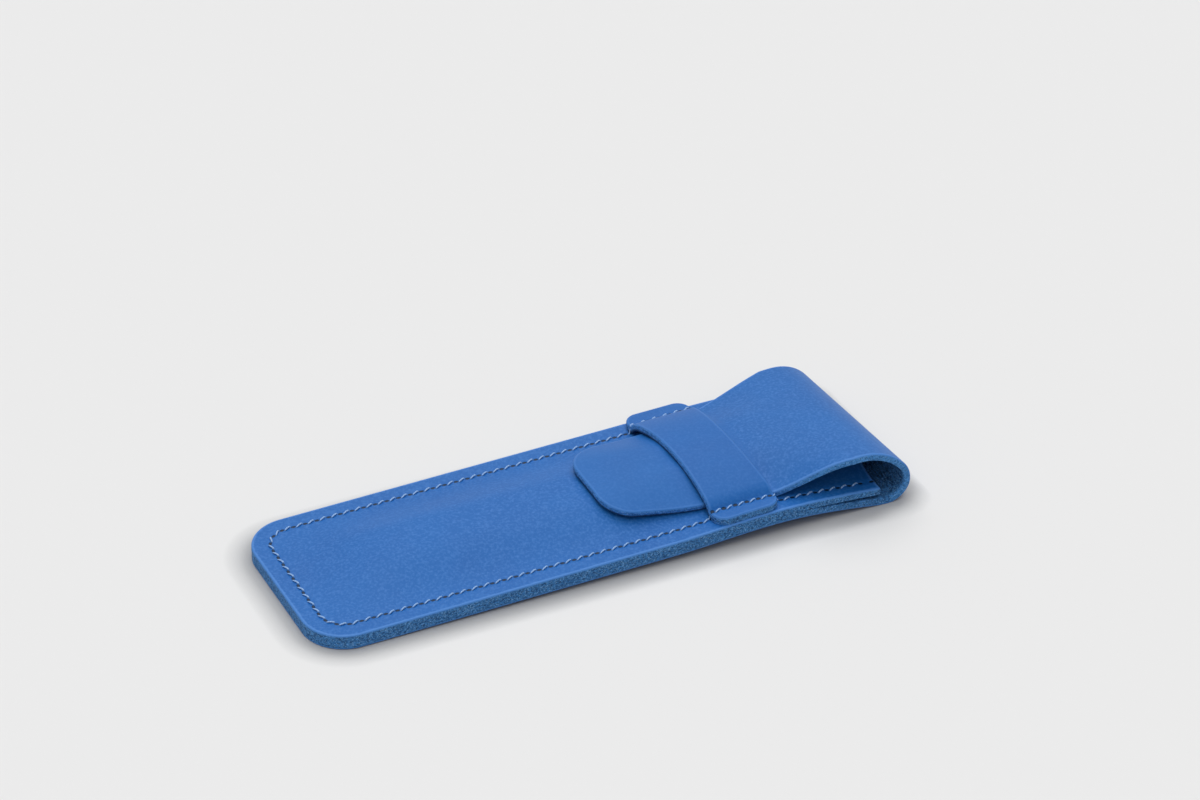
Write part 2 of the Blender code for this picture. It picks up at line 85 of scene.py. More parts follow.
KEEPER_FOOT_RADIUS = 0.0026
KEEPER_FOOT_ANGLE = math.radians(50)
KEEPER_SHOULDER_RADIUS = 0.0070
KEEPER_CROWN_ANGLE = math.radians(22.5)
FOLD_SETBACK = 0.0017
APPROACH_RADIUS = 0.026
BOTTOM_RADIUS_NEAR = 0.0064
BOTTOM_RADIUS_FAR = 0.0048
BACK_RADIUS_NEAR = 0.0084
BACK_RADIUS_FAR = 0.0040
TOP_RADIUS_NEAR = 0.0186
TOP_RADIUS_FAR = 0.0139
BACK_ARC_START = math.radians(90)
TOP_ARC_START = math.radians(130)
TOP_ARC_END = math.radians(180)
FLAP_CLEARANCE = 0.0003
FLAP_ROOT_GAP = 0.0001
FLAP_NECK = 0.0006
FLAP_SKEW_SHARE = 0.8
FLAP_SLOPE_NEAR = 0.32
FLAP_SLOPE_FAR = 0.10
FLAP_WIDE_TO_MOUTH = 0.0085
FLAP_INSET_AT_KEEPER = 0.00545
TONGUE_INSET_AT_KEEPER_NEAR = 0.00865
TONGUE_INSET_AT_KEEPER_FAR = 0.0107
TONGUE_INSET_AT_TIP_NEAR = 0.0127
TONGUE_INSET_AT_TIP_FAR = 0.0125
TONGUE_TO_MOUTH = 0.0757
TONGUE_CORNER_RADIUS_NEAR = 0.0080
TONGUE_CORNER_RADIUS_FAR = 0.0114
TONGUE_LIFT = 0.0003
TONGUE_STIFF_SHARE = 0.18
HINGE_COUNT = 6
DERIVATIVE_STEP = 1e-4

# Sizes of the cut edges and of the stitches, which the solids leave plain
SEWN_GAP = 0.00004
PANEL_LEATHER = LEATHER + (GAP - SEWN_GAP) / 2
EDGE_TRIM = 0.0009
TOP_ROUND = 0.00050
BASE_ROUND = 0.00025
SEWN_ROUND = 0.00006
ROUND_STEPS = 5
GRAIN_ROUND_STEPS = 3
THREAD_RADIUS = 0.00028
STITCH_LENGTH_SHARE = 0.76
STITCH_SLANT = 0.00045
STITCH_ARCH = 0.00030
STITCH_SINK = 0.00036
STITCH_ARCH_POWER = 0.6
STITCH_SWELL_POWER = 0.5
THREAD_END_SHARE = 0.72
THREAD_FLAT_SHARE = 0.8
BACK_SEAM_SINK = 0.0003

HALF_WIDTH = BODY_WIDTH / 2
HUMP_X = BODY_LENGTH - HUMP_TO_MOUTH
FOLD_START = BODY_LENGTH - FOLD_SETBACK
HINGE_TURN = math.pi / HINGE_COUNT
KEEPER_MOUTH_SIDE = BODY_LENGTH - KEEPER_TO_MOUTH
KEEPER_CLOSED_SIDE = KEEPER_MOUTH_SIDE - KEEPER_WIDTH
KEEPER_FOOT = HALF_WIDTH - KEEPER_FOOT_SETBACK
TONGUE_NECK = KEEPER_MOUTH_SIDE - KEEPER_SKEW - FLAP_NECK
FLAP_ROOT = KEEPER_MOUTH_SIDE + KEEPER_SKEW + FLAP_ROOT_GAP
FLAP_WIDE_X = BODY_LENGTH - FLAP_WIDE_TO_MOUTH
TONGUE_TIP = BODY_LENGTH - TONGUE_TO_MOUTH
TONGUE_CORNER_REACH = max(TONGUE_CORNER_RADIUS_NEAR, TONGUE_CORNER_RADIUS_FAR)


def mix(near, far, v):
    """Value at v, which runs from -1 on the near side to +1 on the far side."""
    return near + (far - near) * (v + 1) / 2


def smooth(t):
    """Ease from 0 to 1 as t goes from 0 to 1, flat beyond both ends."""
    t = min(max(t, 0), 1)
    return t * t * (3 - 2 * t)


def spread(start, end, count):
    """Even values from start to end, both included."""
    return [start + (end - start) * step / count for step in range(count + 1)]


def corner_inset(distance, radius):
    """How far a round corner draws an edge in, at a distance from the corner's square end."""
    reach = radius - min(max(distance, 0), radius)
    return radius - math.sqrt(radius ** 2 - reach ** 2)


def slope_of(height, place):
    """Slope of a height that is a function of one coordinate."""
    rise = height(place + DERIVATIVE_STEP) - height(place - DERIVATIVE_STEP)
    return rise / (2 * DERIVATIVE_STEP)


# Surfaces of the case: the formulas of the solids, with a bowed strap and a short neck

def body_half_width(x):
    """Half of the body's width: the closed end has round corners."""
    return HALF_WIDTH - corner_inset(x, CORNER_RADIUS)


def body_rise(x, v, drop):
    """Height that bending adds to a panel: a slow rise, then a sag towards the fold."""
    hump = mix(HUMP_NEAR, HUMP_FAR, v)
    if x <= HUMP_X:
        return hump * smooth((x - HUMP_X + HUMP_RUN) / HUMP_RUN)
    return hump - (hump + drop) * (1 - math.cos(math.pi / 2 * (x - HUMP_X) / SAG_RUN))


def seam_half_width(x):
    """Distance from the middle of the case to the side seams."""
    drift = SEAM_DRIFT * smooth((x - BODY_LENGTH + SEAM_DRIFT_RUN) / SEAM_DRIFT_RUN)
    return HALF_WIDTH - STITCH_MARGIN + drift


def flat_front(x, y):
    """Height of the front panel's outer face along its sewn edges."""
    return 2 * LEATHER + GAP + body_rise(x, y / HALF_WIDTH, FRONT_DROP)


def front_face(x, y):
    """Height of the front panel's outer face: a crown, level in the middle."""
    crown = CROWN_HEIGHT * smooth((x - STITCH_MARGIN) / CROWN_RUN)
    crown += MOUTH_RISE * smooth((x - HUMP_X) / HUMP_TO_MOUTH)
    seam = seam_half_width(x)
    return flat_front(x, y) + crown * smooth((seam - abs(y)) / (seam - CROWN_LEVEL))


def back_point(x, v):
    """Outer face of the back panel, up to where the fold starts."""
    return Vector((x, v * body_half_width(x), body_rise(x, v, BACK_DROP)))


def approach_angle(v):
    """Downward slope of the back panel where the fold starts."""
    hump = mix(HUMP_NEAR, HUMP_FAR, v)
    turn = math.pi / 2 / SAG_RUN
    return math.atan((hump + BACK_DROP) * turn * math.sin(turn * (FOLD_START - HUMP_X)))


def arc_move(radius, start, end):
    """Move along x and z while the heading turns from start to end on an arc."""
    return Vector((radius * (math.sin(end) - math.sin(start)), 0,
                   radius * (math.cos(start) - math.cos(end))))


def approach_side(share, side):
    """Point of the shallow arc that levels the sag out, on one side of the case."""
    start = -approach_angle(side)
    start_point = back_point(FOLD_START, side)
    return start_point + arc_move(APPROACH_RADIUS, start, start * (1 - share))


def approach_point(share, v):
    """Outer face of the shallow arc: straight lines join its near and far sides."""
    return approach_side(share, -1).lerp(approach_side(share, 1), (v + 1) / 2)


def roll_side(heading, side):
    """Point of the fold's profile at a heading, on one side of the case."""
    point = approach_side(1, side)
    bottom, back, top = ((BOTTOM_RADIUS_NEAR, BACK_RADIUS_NEAR, TOP_RADIUS_NEAR) if side < 0
                         else (BOTTOM_RADIUS_FAR, BACK_RADIUS_FAR, TOP_RADIUS_FAR))
    point += arc_move(bottom, 0, min(heading, BACK_ARC_START))
    if heading > BACK_ARC_START:
        point += arc_move(back, BACK_ARC_START, min(heading, TOP_ARC_START))
    if heading > TOP_ARC_START:
        point += arc_move(top, TOP_ARC_START, heading)
    return point


def roll_point(heading, v):
    """Outer face of the fold: straight lines join the two sides at equal headings."""
    return roll_side(heading, -1).lerp(roll_side(heading, 1), (v + 1) / 2)


def tongue_side(side):
    """Insets at the keeper and at the tip, and corner radius, on one side of the tongue."""
    if side < 0:
        return TONGUE_INSET_AT_KEEPER_NEAR, TONGUE_INSET_AT_TIP_NEAR, TONGUE_CORNER_RADIUS_NEAR
    return TONGUE_INSET_AT_KEEPER_FAR, TONGUE_INSET_AT_TIP_FAR, TONGUE_CORNER_RADIUS_FAR


def flap_reach(x, side):
    """How far the flap reaches to one side: full at the fold, less at the keeper and tongue."""
    root = KEEPER_MOUTH_SIDE - FLAP_SKEW_SHARE * side * KEEPER_SKEW + FLAP_ROOT_GAP
    if x >= root:
        share = min(max((x - FLAP_ROOT) / (FLAP_WIDE_X - FLAP_ROOT), 0), 1)
        return HALF_WIDTH - FLAP_INSET_AT_KEEPER * (1 - share)
    at_keeper, at_tip, radius = tongue_side(side)
    if x >= root - FLAP_NECK:
        share = smooth((x - root) / FLAP_NECK + 1)
        return HALF_WIDTH - mix(at_keeper, FLAP_INSET_AT_KEEPER, 2 * share - 1)
    share = min((x - TONGUE_TIP) / (KEEPER_CLOSED_SIDE - TONGUE_TIP), 1)
    inset = at_tip + (at_keeper - at_tip) * share
    return HALF_WIDTH - inset - corner_inset(x - TONGUE_TIP, radius)


def flap_place(x, v):
    """Place across the case at v on the flap, whose tongue lies a little askew."""
    return mix(-flap_reach(x, -1), flap_reach(x, 1), v)


def tucked_face(x, y):
    """Height of the outer face of leather that lies on the front panel."""
    return front_face(x, y) + FLAP_CLEARANCE + LEATHER


def flap_point(share, v):
    """Outer face of the flap, from the top of the fold to beside the keeper."""
    top = roll_point(TOP_ARC_END, v)
    x = top.x + (FLAP_ROOT - top.x) * share
    y = flap_place(x, v)
    t = 1 - share
    ease = smooth(t)
    slope = mix(FLAP_SLOPE_NEAR, FLAP_SLOPE_FAR, v)
    start = tucked_face(FLAP_ROOT, flap_place(FLAP_ROOT, v))
    bend = t * share * share * (top.x - FLAP_ROOT) * slope
    return Vector((x, y, start * (1 - ease) + top.z * ease + bend))


def tongue_point(run, v):
    """Outer face of the tongue, a run away from the flap: its free end is stiffer than the
    crown that it lies on, so its sides stand off a little."""
    x = FLAP_ROOT - run
    y = flap_place(x, v)
    free = smooth((KEEPER_CLOSED_SIDE - x) / (KEEPER_CLOSED_SIDE - TONGUE_TIP))
    height = tucked_face(x, y * (1 - TONGUE_STIFF_SHARE * free))
    return Vector((x, y, height + TONGUE_LIFT * free))


def inward(surface, value, v):
    """Unit normal of the strip's outer face, pointing into the leather."""
    along = surface(value + DERIVATIVE_STEP, v) - surface(value - DERIVATIVE_STEP, v)
    across = surface(value, v + DERIVATIVE_STEP) - surface(value, v - DERIVATIVE_STEP)
    return along.cross(across).normalized()


def keeper_rise(y):
    """Rise of the strap's middle layer over its ears: fillet, shoulder, then a wide crown."""
    inset = KEEPER_FOOT - abs(y)
    if inset <= 0:
        return 0
    steep = math.sin(KEEPER_FOOT_ANGLE)
    gentle = math.sin(KEEPER_CROWN_ANGLE)
    fillet_span = KEEPER_FOOT_RADIUS * steep
    if inset < fillet_span:
        return KEEPER_FOOT_RADIUS - math.sqrt(KEEPER_FOOT_RADIUS ** 2 - inset ** 2)
    rise = KEEPER_FOOT_RADIUS * (1 - math.cos(KEEPER_FOOT_ANGLE))
    shoulder_span = KEEPER_SHOULDER_RADIUS * (steep - gentle)
    past = min(inset - fillet_span, shoulder_span)
    angle = math.asin(steep - past / KEEPER_SHOULDER_RADIUS)
    rise += KEEPER_SHOULDER_RADIUS * (math.cos(angle) - math.cos(KEEPER_FOOT_ANGLE))
    if inset <= fillet_span + shoulder_span:
        return rise
    crown_radius = (KEEPER_FOOT - fillet_span - shoulder_span) / gentle
    angle = math.asin(abs(y) / crown_radius)
    return rise + crown_radius * (math.cos(angle) - math.cos(KEEPER_CROWN_ANGLE))


def keeper_end(y):
    """Distance from the middle to the end of the ear on the side of y."""
    return HALF_WIDTH - (KEEPER_NEAR_INSET if y < 0 else 0)


def keeper_span(y):
    """The strap's closed-end side and mouth side at y: waisted, with round ear corners."""
    bow = max(1 - (y / KEEPER_FOOT) ** 2, 0)
    corner = corner_inset(keeper_end(y) - abs(y), KEEPER_EAR_RADIUS)
    skew = KEEPER_SKEW * y / HALF_WIDTH
    return (KEEPER_CLOSED_SIDE - skew + KEEPER_WAIST_CLOSED * bow + corner,
            KEEPER_MOUTH_SIDE - skew - KEEPER_WAIST_MOUTH * bow - corner)


def keeper_point(share, y):
    """Middle layer of the strap."""
    closed_side, mouth_side = keeper_span(y)
    x = closed_side + (mouth_side - closed_side) * share
    return Vector((x, y, flat_front(x, y) + GAP + LEATHER / 2 + keeper_rise(y)))


# Seam

SEAM_RADIUS = CORNER_RADIUS - STITCH_MARGIN
SEAM_MOUTH_X = BODY_LENGTH - SEAM_TO_MOUTH
SEAM_SIDE = SEAM_MOUTH_X - CORNER_RADIUS
SEAM_ARC = SEAM_RADIUS * math.pi / 2
SEAM_HALF = SEAM_SIDE + SEAM_ARC + HALF_WIDTH - CORNER_RADIUS
STITCHES = round(2 * SEAM_HALF / STITCH_PITCH)
PITCH = 2 * SEAM_HALF / STITCHES


def seam_place(distance):
    """Point of the seam at a distance from its near mouth end, and its direction there."""
    mirrored = distance > SEAM_HALF
    run = 2 * SEAM_HALF - distance if mirrored else distance
    if run < SEAM_SIDE:
        x = SEAM_MOUTH_X - run
        place = Vector((x, -seam_half_width(x)))
        heading = Vector((-1, slope_of(seam_half_width, x))).normalized()
    elif run < SEAM_SIDE + SEAM_ARC:
        angle = (run - SEAM_SIDE) / SEAM_RADIUS
        place = Vector((CORNER_RADIUS - SEAM_RADIUS * math.sin(angle),
                        -(HALF_WIDTH - CORNER_RADIUS + SEAM_RADIUS * math.cos(angle))))
        heading = Vector((-math.cos(angle), math.sin(angle)))
    else:
        place = Vector((STITCH_MARGIN, run - SEAM_HALF))
        heading = Vector((0, 1))
    if mirrored:
        return Vector((place.x, -place.y)), Vector((-heading.x, heading.y))
    return place, heading


def seam_field(x, y):
    """How far a point lies inside the seam, and the distance along the seam beside it."""
    side = abs(y)
    middle = HALF_WIDTH - CORNER_RADIUS
    if x >= CORNER_RADIUS:
        inside, run = seam_half_width(x) - side, SEAM_MOUTH_X - x
    elif side > middle:
        reach = math.hypot(CORNER_RADIUS - x, side - middle)
        inside = SEAM_RADIUS - reach
        run = SEAM_SIDE + SEAM_RADIUS * math.atan2(CORNER_RADIUS - x, side - middle)
    else:
        inside, run = x - STITCH_MARGIN, SEAM_HALF - side
    return inside, run if y < 0 else 2 * SEAM_HALF - run


def sewn_face(x, y):
    """Height of what the front stitches lie on: the front panel, or a keeper ear."""
    closed_side, mouth_side = keeper_span(y)
    if closed_side < x < mouth_side:
        return flat_front(x, y) + GAP + LEATHER
    return front_face(x, y)


# Where the case lies

BOTTOM = min(approach_side(1, -1), approach_side(1, 1), key=lambda point: point.z)
TILT = math.atan2(-BOTTOM.z, BOTTOM.x)
REACH = max(roll_side(BACK_ARC_START, side).x for side in (-1, 1))
PLACE = (Matrix.Translation((-REACH * math.cos(TILT) / 2, 0, 0))
         @ Matrix.Rotation(-TILT, 4, "Y"))


# Mesh builders

GRAIN, CUT, FLESH = 0, 1, 2


def link(name, mesh, materials):
    """Object with its materials, linked to the scene."""
    thing = bpy.data.objects.new(name, mesh)
    for material in materials:
        mesh.materials.append(material)
    bpy.context.scene.collection.objects.link(thing)
    return thing


def outline(grid):
    """Vertices round the edge of a grid, in order."""
    return (grid[0] + [row[-1] for row in grid[1:-1]] + grid[-1][::-1]
            + [row[0] for row in grid[-2:0:-1]])


def mitre(points, index, inward_way):
    """Outward move, square to both edges that meet at a point of a closed outline."""
    before = points[index] - points[index - 1]
    after = points[(index + 1) % len(points)] - points[index]
    first = inward_way.cross(before).normalized()
    second = inward_way.cross(after).normalized()
    return (first + second) / (1 + first.dot(second))


def edge_profile(thickness, top_round, base_round):
    """Cut edge from the outer face to the inner face: (outward, depth, kind of face before)."""
    steps = []
    for step in range(ROUND_STEPS + 1):
        turn = math.pi / 2 * step / ROUND_STEPS
        kind = GRAIN if step <= GRAIN_ROUND_STEPS else CUT
        steps.append((EDGE_TRIM - top_round * (1 - math.sin(turn)),
                      top_round * (1 - math.cos(turn)), kind))
    for step in range(ROUND_STEPS + 1):
        turn = math.pi / 2 * step / ROUND_STEPS
        steps.append((EDGE_TRIM - base_round * (1 - math.cos(turn)),
                      thickness - base_round * (1 - math.sin(turn)), CUT))
    return steps


def slab(name, outer, inner, rounds):
    """Closed mesh between two trimmed grids of points: round cut edges reach past the grids.

    rounds holds each row's radius at the outer and at the inner face. The attribute "edge"
    keeps the distance to the outline, which stops at EDGE_TRIM, and the share of the
    thickness below the outer face.
    """
    maker = bmesh.new()
    edge = maker.verts.layers.float_vector.new("edge")
    piece = maker.faces.layers.int.new("piece")

    def vertex(point, to_outline, share):
        made = maker.verts.new(point)
        made[edge] = (to_outline, share, 0)
        return made

    def face(corners, kind, row):
        made = maker.faces.new(corners)
        made.material_index = kind
        made.smooth = True
        made[piece] = row
        return made

    grids = []
    for rows, share, kind in ((outer, 0, GRAIN), (inner, 1, FLESH)):
        grid = [[vertex(point, EDGE_TRIM, share) for point in row] for row in rows]
        for row, (first, second) in enumerate(zip(grid, grid[1:])):
            for column in range(len(first) - 1):
                face((first[column], first[column + 1], second[column + 1], second[column]),
                     kind, row)
        grids.append(outline(grid))
    numbers = outline([[row] * len(outer[0]) for row in range(len(outer))])
    outer_points, inner_points = outline(outer), outline(inner)
    middle = sum(outer_points, Vector()) / len(outer_points)
    first_way = mitre(outer_points, 0, inner_points[0] - outer_points[0])
    way = 1 if first_way.dot(outer_points[0] - middle) > 0 else -1
    rings = []
    for index, (high, low) in enumerate(zip(outer_points, inner_points)):
        depth = low - high
        away = mitre(outer_points, index, depth) * way
        profile = edge_profile(depth.length, *rounds[numbers[index]])
        rings.append([(vertex(high + away * out + depth * (down / depth.length),
                              EDGE_TRIM - out, down / depth.length), kind)
                      for out, down, kind in profile])
    for index in range(len(rings)):
        following = (index + 1) % len(rings)
        row = min(numbers[index], numbers[following])
        first = [(grids[0][index], GRAIN)] + rings[index] + [(grids[1][index], CUT)]
        second = [(grids[0][following], GRAIN)] + rings[following] + [(grids[1][following], CUT)]
        for step in range(len(first) - 1):
            face((first[step][0], first[step + 1][0], second[step + 1][0], second[step][0]),
                 first[step + 1][1], row)
    bmesh.ops.recalc_face_normals(maker, faces=maker.faces)
    mesh = bpy.data.meshes.new(name)
    maker.to_mesh(mesh)
    maker.free()
    return mesh


def pieces_of(mesh, owner, names, materials):
    """Split a mesh into objects by a function of each face's row, and keep its shading."""
    corner_normals = [Vector(item.vector) for item in mesh.corner_normals]
    rows_of_faces = [item.value for item in mesh.attributes["piece"].data]
    edges = [Vector(item.vector) for item in mesh.attributes["edge"].data]
    groups = {name: [] for name in names}
    for face in mesh.polygons:
        groups[owner(rows_of_faces[face.index])].append(face)
    made = {}
    for name, faces in groups.items():
        numbers = {}
        rows, normals, kinds = [], [], []
        for face in faces:
            rows.append([numbers.setdefault(vertex, len(numbers)) for vertex in face.vertices])
            normals += [corner_normals[loop] for loop in face.loop_indices]
            kinds.append(face.material_index)
        part = bpy.data.meshes.new(name)
        part.from_pydata([mesh.vertices[vertex].co for vertex in numbers], [], rows)
        part.polygons.foreach_set("material_index", kinds)
        part.polygons.foreach_set("use_smooth", [True] * len(rows))
        part.update()
        edge = part.attributes.new("edge", "FLOAT_VECTOR", "POINT")
        for vertex, number in numbers.items():
            edge.data[number].vector = edges[vertex]
        part.normals_split_custom_set(normals)
        made[name] = link(name, part, materials)
    bpy.data.meshes.remove(mesh)
    return made


def recolour(thing, chosen, finishes):
    """Give the faces whose middle is chosen another material in place of each one named."""
    for index, material in finishes.items():
        thing.data.materials.append(material)
        for face in thing.data.polygons:
            if face.material_index == index and chosen(face.center):
                face.material_index = len(thing.data.materials) - 1


def mark(thing, field):
    """Store each vertex's pattern place and seam field for the material, then move to world."""
    mesh = thing.data
    rest = mesh.attributes.new("rest", "FLOAT_VECTOR", "POINT")
    seam = mesh.attributes.new("seam", "FLOAT_VECTOR", "POINT")
    for index, vertex in enumerate(mesh.vertices):
        rest.data[index].vector = vertex.co
        seam.data[index].vector = field(vertex.co)
    mesh.transform(PLACE)
    return thing


def sewn(co):
    """Seam field at a point, for leather that is sewn."""
    inside, run = seam_field(co.x, co.y)
    return inside, run / PITCH, 0


def unsewn(co):
    """Seam field for leather with no seam."""
    return 1, 0, 0


# Materials

def node(tree, kind, inputs=(), **settings):
    """New shader node: settings are attributes, inputs are (socket, value or output)."""
    made = tree.nodes.new(kind)
    for key, value in settings.items():
        setattr(made, key, value)
    for socket, value in inputs:
        if isinstance(value, bpy.types.NodeSocket):
            tree.links.new(value, made.inputs[socket])
        else:
            made.inputs[socket].default_value = value
    return made


def maths(tree, operation, first, second=0.0):
    """Math node's output."""
    made = node(tree, "ShaderNodeMath", ((0, first), (1, second)), operation=operation)
    return made.outputs[0]


def ramp(tree, factor, low, high, to_low=0.0, to_high=1.0):
    """Value mapped from low..high to to_low..to_high, clamped."""
    made = node(tree, "ShaderNodeMapRange", ((0, factor), (1, low), (2, high),
                                             (3, to_low), (4, to_high)))
    return made.outputs[0]


def blend_colours(tree, factor, first, second):
    """Colour mix; colours are linear triples or outputs."""
    made = node(tree, "ShaderNodeMix", data_type="RGBA")
    for socket, value in ((0, factor), (6, first), (7, second)):
        if isinstance(value, bpy.types.NodeSocket):
            tree.links.new(value, made.inputs[socket])
        elif isinstance(value, tuple):
            made.inputs[socket].default_value = (*value, 1)
        else:
            made.inputs[socket].default_value = value
    return made.outputs[2]


def tinted(tree, colour, value, span, other):
    """Colour that turns into another one while a value crosses a span."""
    return blend_colours(tree, ramp(tree, value, *span), colour, other)


def shaded(tree, colour, mask, share, other):
    """Colour that a mask turns into a share of another one."""
    return blend_colours(tree, maths(tree, "MULTIPLY", mask, share), colour, other)


def relief(tree, *layers):
    """Sum of masks, each times its height in metres."""
    heights = [maths(tree, "MULTIPLY", mask, height) for mask, height in layers]
    total = heights[0]
    for height in heights[1:]:
        total = maths(tree, "ADD", total, height)
    return total


def noise(tree, vector, scale, detail, roughness):
    """Noise texture's value."""
    made = node(tree, "ShaderNodeTexNoise", (("Vector", vector), ("Scale", scale),
                                             ("Detail", detail), ("Roughness", roughness)))
    return made.outputs[0]


def new_material(name):
    """New material; gives back the material, its tree and its Principled shader."""
    material = bpy.data.materials.new(name)
    material.use_nodes = True
    tree = material.node_tree
    return material, tree, tree.nodes["Principled BSDF"]


def parts_of(tree, attribute):
    """The three values of a stored vector."""
    vector = node(tree, "ShaderNodeAttribute", attribute_name=attribute).outputs["Vector"]
    return node(tree, "ShaderNodeSeparateXYZ", ((0, vector),)).outputs


def place_of(tree):
    """Place in the pattern frame, which the textures follow."""
    return node(tree, "ShaderNodeAttribute", attribute_name="rest").outputs["Vector"]


def seam_masks(tree):
    """Groove and needle-hole masks from the stored seam field."""
    field = parts_of(tree, "seam")
    inside = maths(tree, "ABSOLUTE", field[0])
    groove = ramp(tree, inside, GROOVE_REACH, THREAD_RADIUS)
    along = maths(tree, "MULTIPLY", maths(tree, "PINGPONG", field[1], 0.5), PITCH)
    squeezed = maths(tree, "MULTIPLY", inside, HOLE_SLIMNESS)
    reach = maths(tree, "SQRT", maths(tree, "ADD", maths(tree, "POWER", squeezed, 2.0),
                                    maths(tree, "POWER", along, 2.0)))
    return groove, ramp(tree, reach, HOLE_REACH, HOLE_CORE)


def bumped(tree, shader, height, strength):
    """Give a shader a height in metres as bump."""
    bump = node(tree, "ShaderNodeBump", (("Height", height), ("Distance", 1.0),
                                         ("Strength", strength)))
    tree.links.new(bump.outputs[0], shader.inputs["Normal"])


def finished(tree, shader, colour, roughness, specular):
    """Give a shader its colour, its roughness, which may vary, and its even gloss."""
    tree.links.new(colour, shader.inputs["Base Color"])
    if isinstance(roughness, bpy.types.NodeSocket):
        tree.links.new(roughness, shader.inputs["Roughness"])
    else:
        shader.inputs["Roughness"].default_value = roughness
    shader.inputs["Specular IOR Level"].default_value = specular


def leather(name, base, pale, deep, sewn_seam, rim_highlight_share):
    """Smooth full-grain leather: pores, faint clouds, a painted highlight along the rim, pale
    specks, stitch lines.
    """
    material, tree, shader = new_material(name)
    rest = place_of(tree)
    clouds = noise(tree, rest, *CLOUD_NOISE)
    patches = noise(tree, rest, *PATCH_NOISE)
    pores = noise(tree, rest, *PORE_NOISE)
    pits = noise(tree, rest, *PIT_NOISE)
    creases = node(tree, "ShaderNodeTexVoronoi", (("Vector", rest), ("Scale", CREASE_SCALE)),
                   feature="DISTANCE_TO_EDGE").outputs["Distance"]
    colour = tinted(tree, deep, clouds, CLOUD_SPAN, base)
    colour = tinted(tree, colour, patches, PATCH_SPAN, pale)
    colour = tinted(tree, colour, pores, PORE_SPAN, deep)
    colour = tinted(tree, colour, pits, PIT_SPAN, deep)
    ragged = maths(tree, "MULTIPLY", maths(tree, "SUBTRACT", pits, 0.5), RIM_HIGHLIGHT_RAGGEDNESS)
    to_outline = maths(tree, "ADD", parts_of(tree, "edge")[0], ragged)
    # Painted highlight: the grain is lightened along its rim, where the rounded edge catches the
    # light
    painted_rim_highlight = ramp(tree, to_outline, RIM_HIGHLIGHT_REACH, RIM_HIGHLIGHT_CORE)
    colour = shaded(tree, colour, painted_rim_highlight, rim_highlight_share, RIM_HIGHLIGHT_COLOUR)
    layers = [(pores, PORE_HEIGHT), (ramp(tree, creases, *CREASE_SPAN), CREASE_HEIGHT),
              (patches, PATCH_HEIGHT)]
    if sewn_seam:
        groove, hole = seam_masks(tree)
        colour = shaded(tree, colour, groove, GROOVE_SHARE, deep)
        # Painted shade: the needle holes are darkened to near-black in the colour
        colour = blend_colours(tree, hole, colour, PAINTED_SHADE_DARK)
        layers += [(groove, -GROOVE_DEPTH), (hole, -HOLE_DEPTH)]
    bumped(tree, shader, relief(tree, *layers), LEATHER_BUMP)
    finished(tree, shader, colour, ramp(tree, clouds, *ROUGHNESS_SPAN), LEATHER_SPECULAR)
    return material


def cut_edge(name, base, pale, deep, rim_highlight_share, painted_foot_shade):
    """Cut edge of the leather: dyed fibres, rubbed smooth, with a painted highlight along its top
    and, where it is raised, painted shade along its foot.
    """
    material, tree, shader = new_material(name)
    rest = place_of(tree)
    squeezed = node(tree, "ShaderNodeMapping", (("Vector", rest), ("Scale", FIBRE_STRETCH)))
    fibres = noise(tree, squeezed.outputs[0], *FIBRE_NOISE)
    specks = noise(tree, rest, *SPECK_NOISE)
    colour = tinted(tree, deep, fibres, FIBRE_SPAN, base)
    colour = tinted(tree, colour, specks, SPECK_SPAN, pale)
    colour = tinted(tree, colour, noise(tree, rest, *BAND_NOISE), BAND_SPAN, deep)
    depth = parts_of(tree, "edge")[1]
    # Painted highlight along the top of the cut edge, where its rounding catches the light
    colour = shaded(tree, colour, ramp(tree, depth, *CUT_RIM_HIGHLIGHT_SPAN), rim_highlight_share, RIM_HIGHLIGHT_COLOUR)
    # Painted shade: the foot of a raised edge is darkened where the crevice beneath it lies in
    # shade
    if painted_foot_shade:
        colour = tinted(tree, colour, depth, FOOT_SHADE_SPAN, PAINTED_SHADE_DARK)
    bumped(tree, shader, relief(tree, (fibres, FIBRE_HEIGHT), (specks, SPECK_HEIGHT)), CUT_BUMP)
    finished(tree, shader, colour, CUT_ROUGHNESS, CUT_SPECULAR)
    return material


def flesh_side(name, base, pale, deep):
    """Flesh side of the leather: a loose nap of dyed fibres, with painted shade high up inside the
    fold.
    """
    material, tree, shader = new_material(name)
    rest = place_of(tree)
    drawn = node(tree, "ShaderNodeMapping", (("Vector", rest), ("Scale", NAP_STRETCH)))
    nap = noise(tree, drawn.outputs[0], *NAP_NOISE)
    tufts = noise(tree, rest, *TUFT_NOISE)
    colour = tinted(tree, deep, nap, NAP_SPAN, base)
    colour = tinted(tree, colour, tufts, TUFT_SPAN, pale)
    colour = tinted(tree, colour, noise(tree, rest, *SHADE_NOISE), SHADE_SPAN, deep)
    # Painted shade: the flesh side darkens with height, standing in for the shade high up inside
    # the fold
    level = parts_of(tree, "rest")[2]
    colour = tinted(tree, colour, level, FOLD_SHADE_SPAN, PAINTED_SHADE_DARK)
    bumped(tree, shader, relief(tree, (nap, NAP_HEIGHT), (tufts, TUFT_HEIGHT)), CUT_BUMP)
    finished(tree, shader, colour, FLESH_ROUGHNESS, FLESH_SPECULAR)
    return material


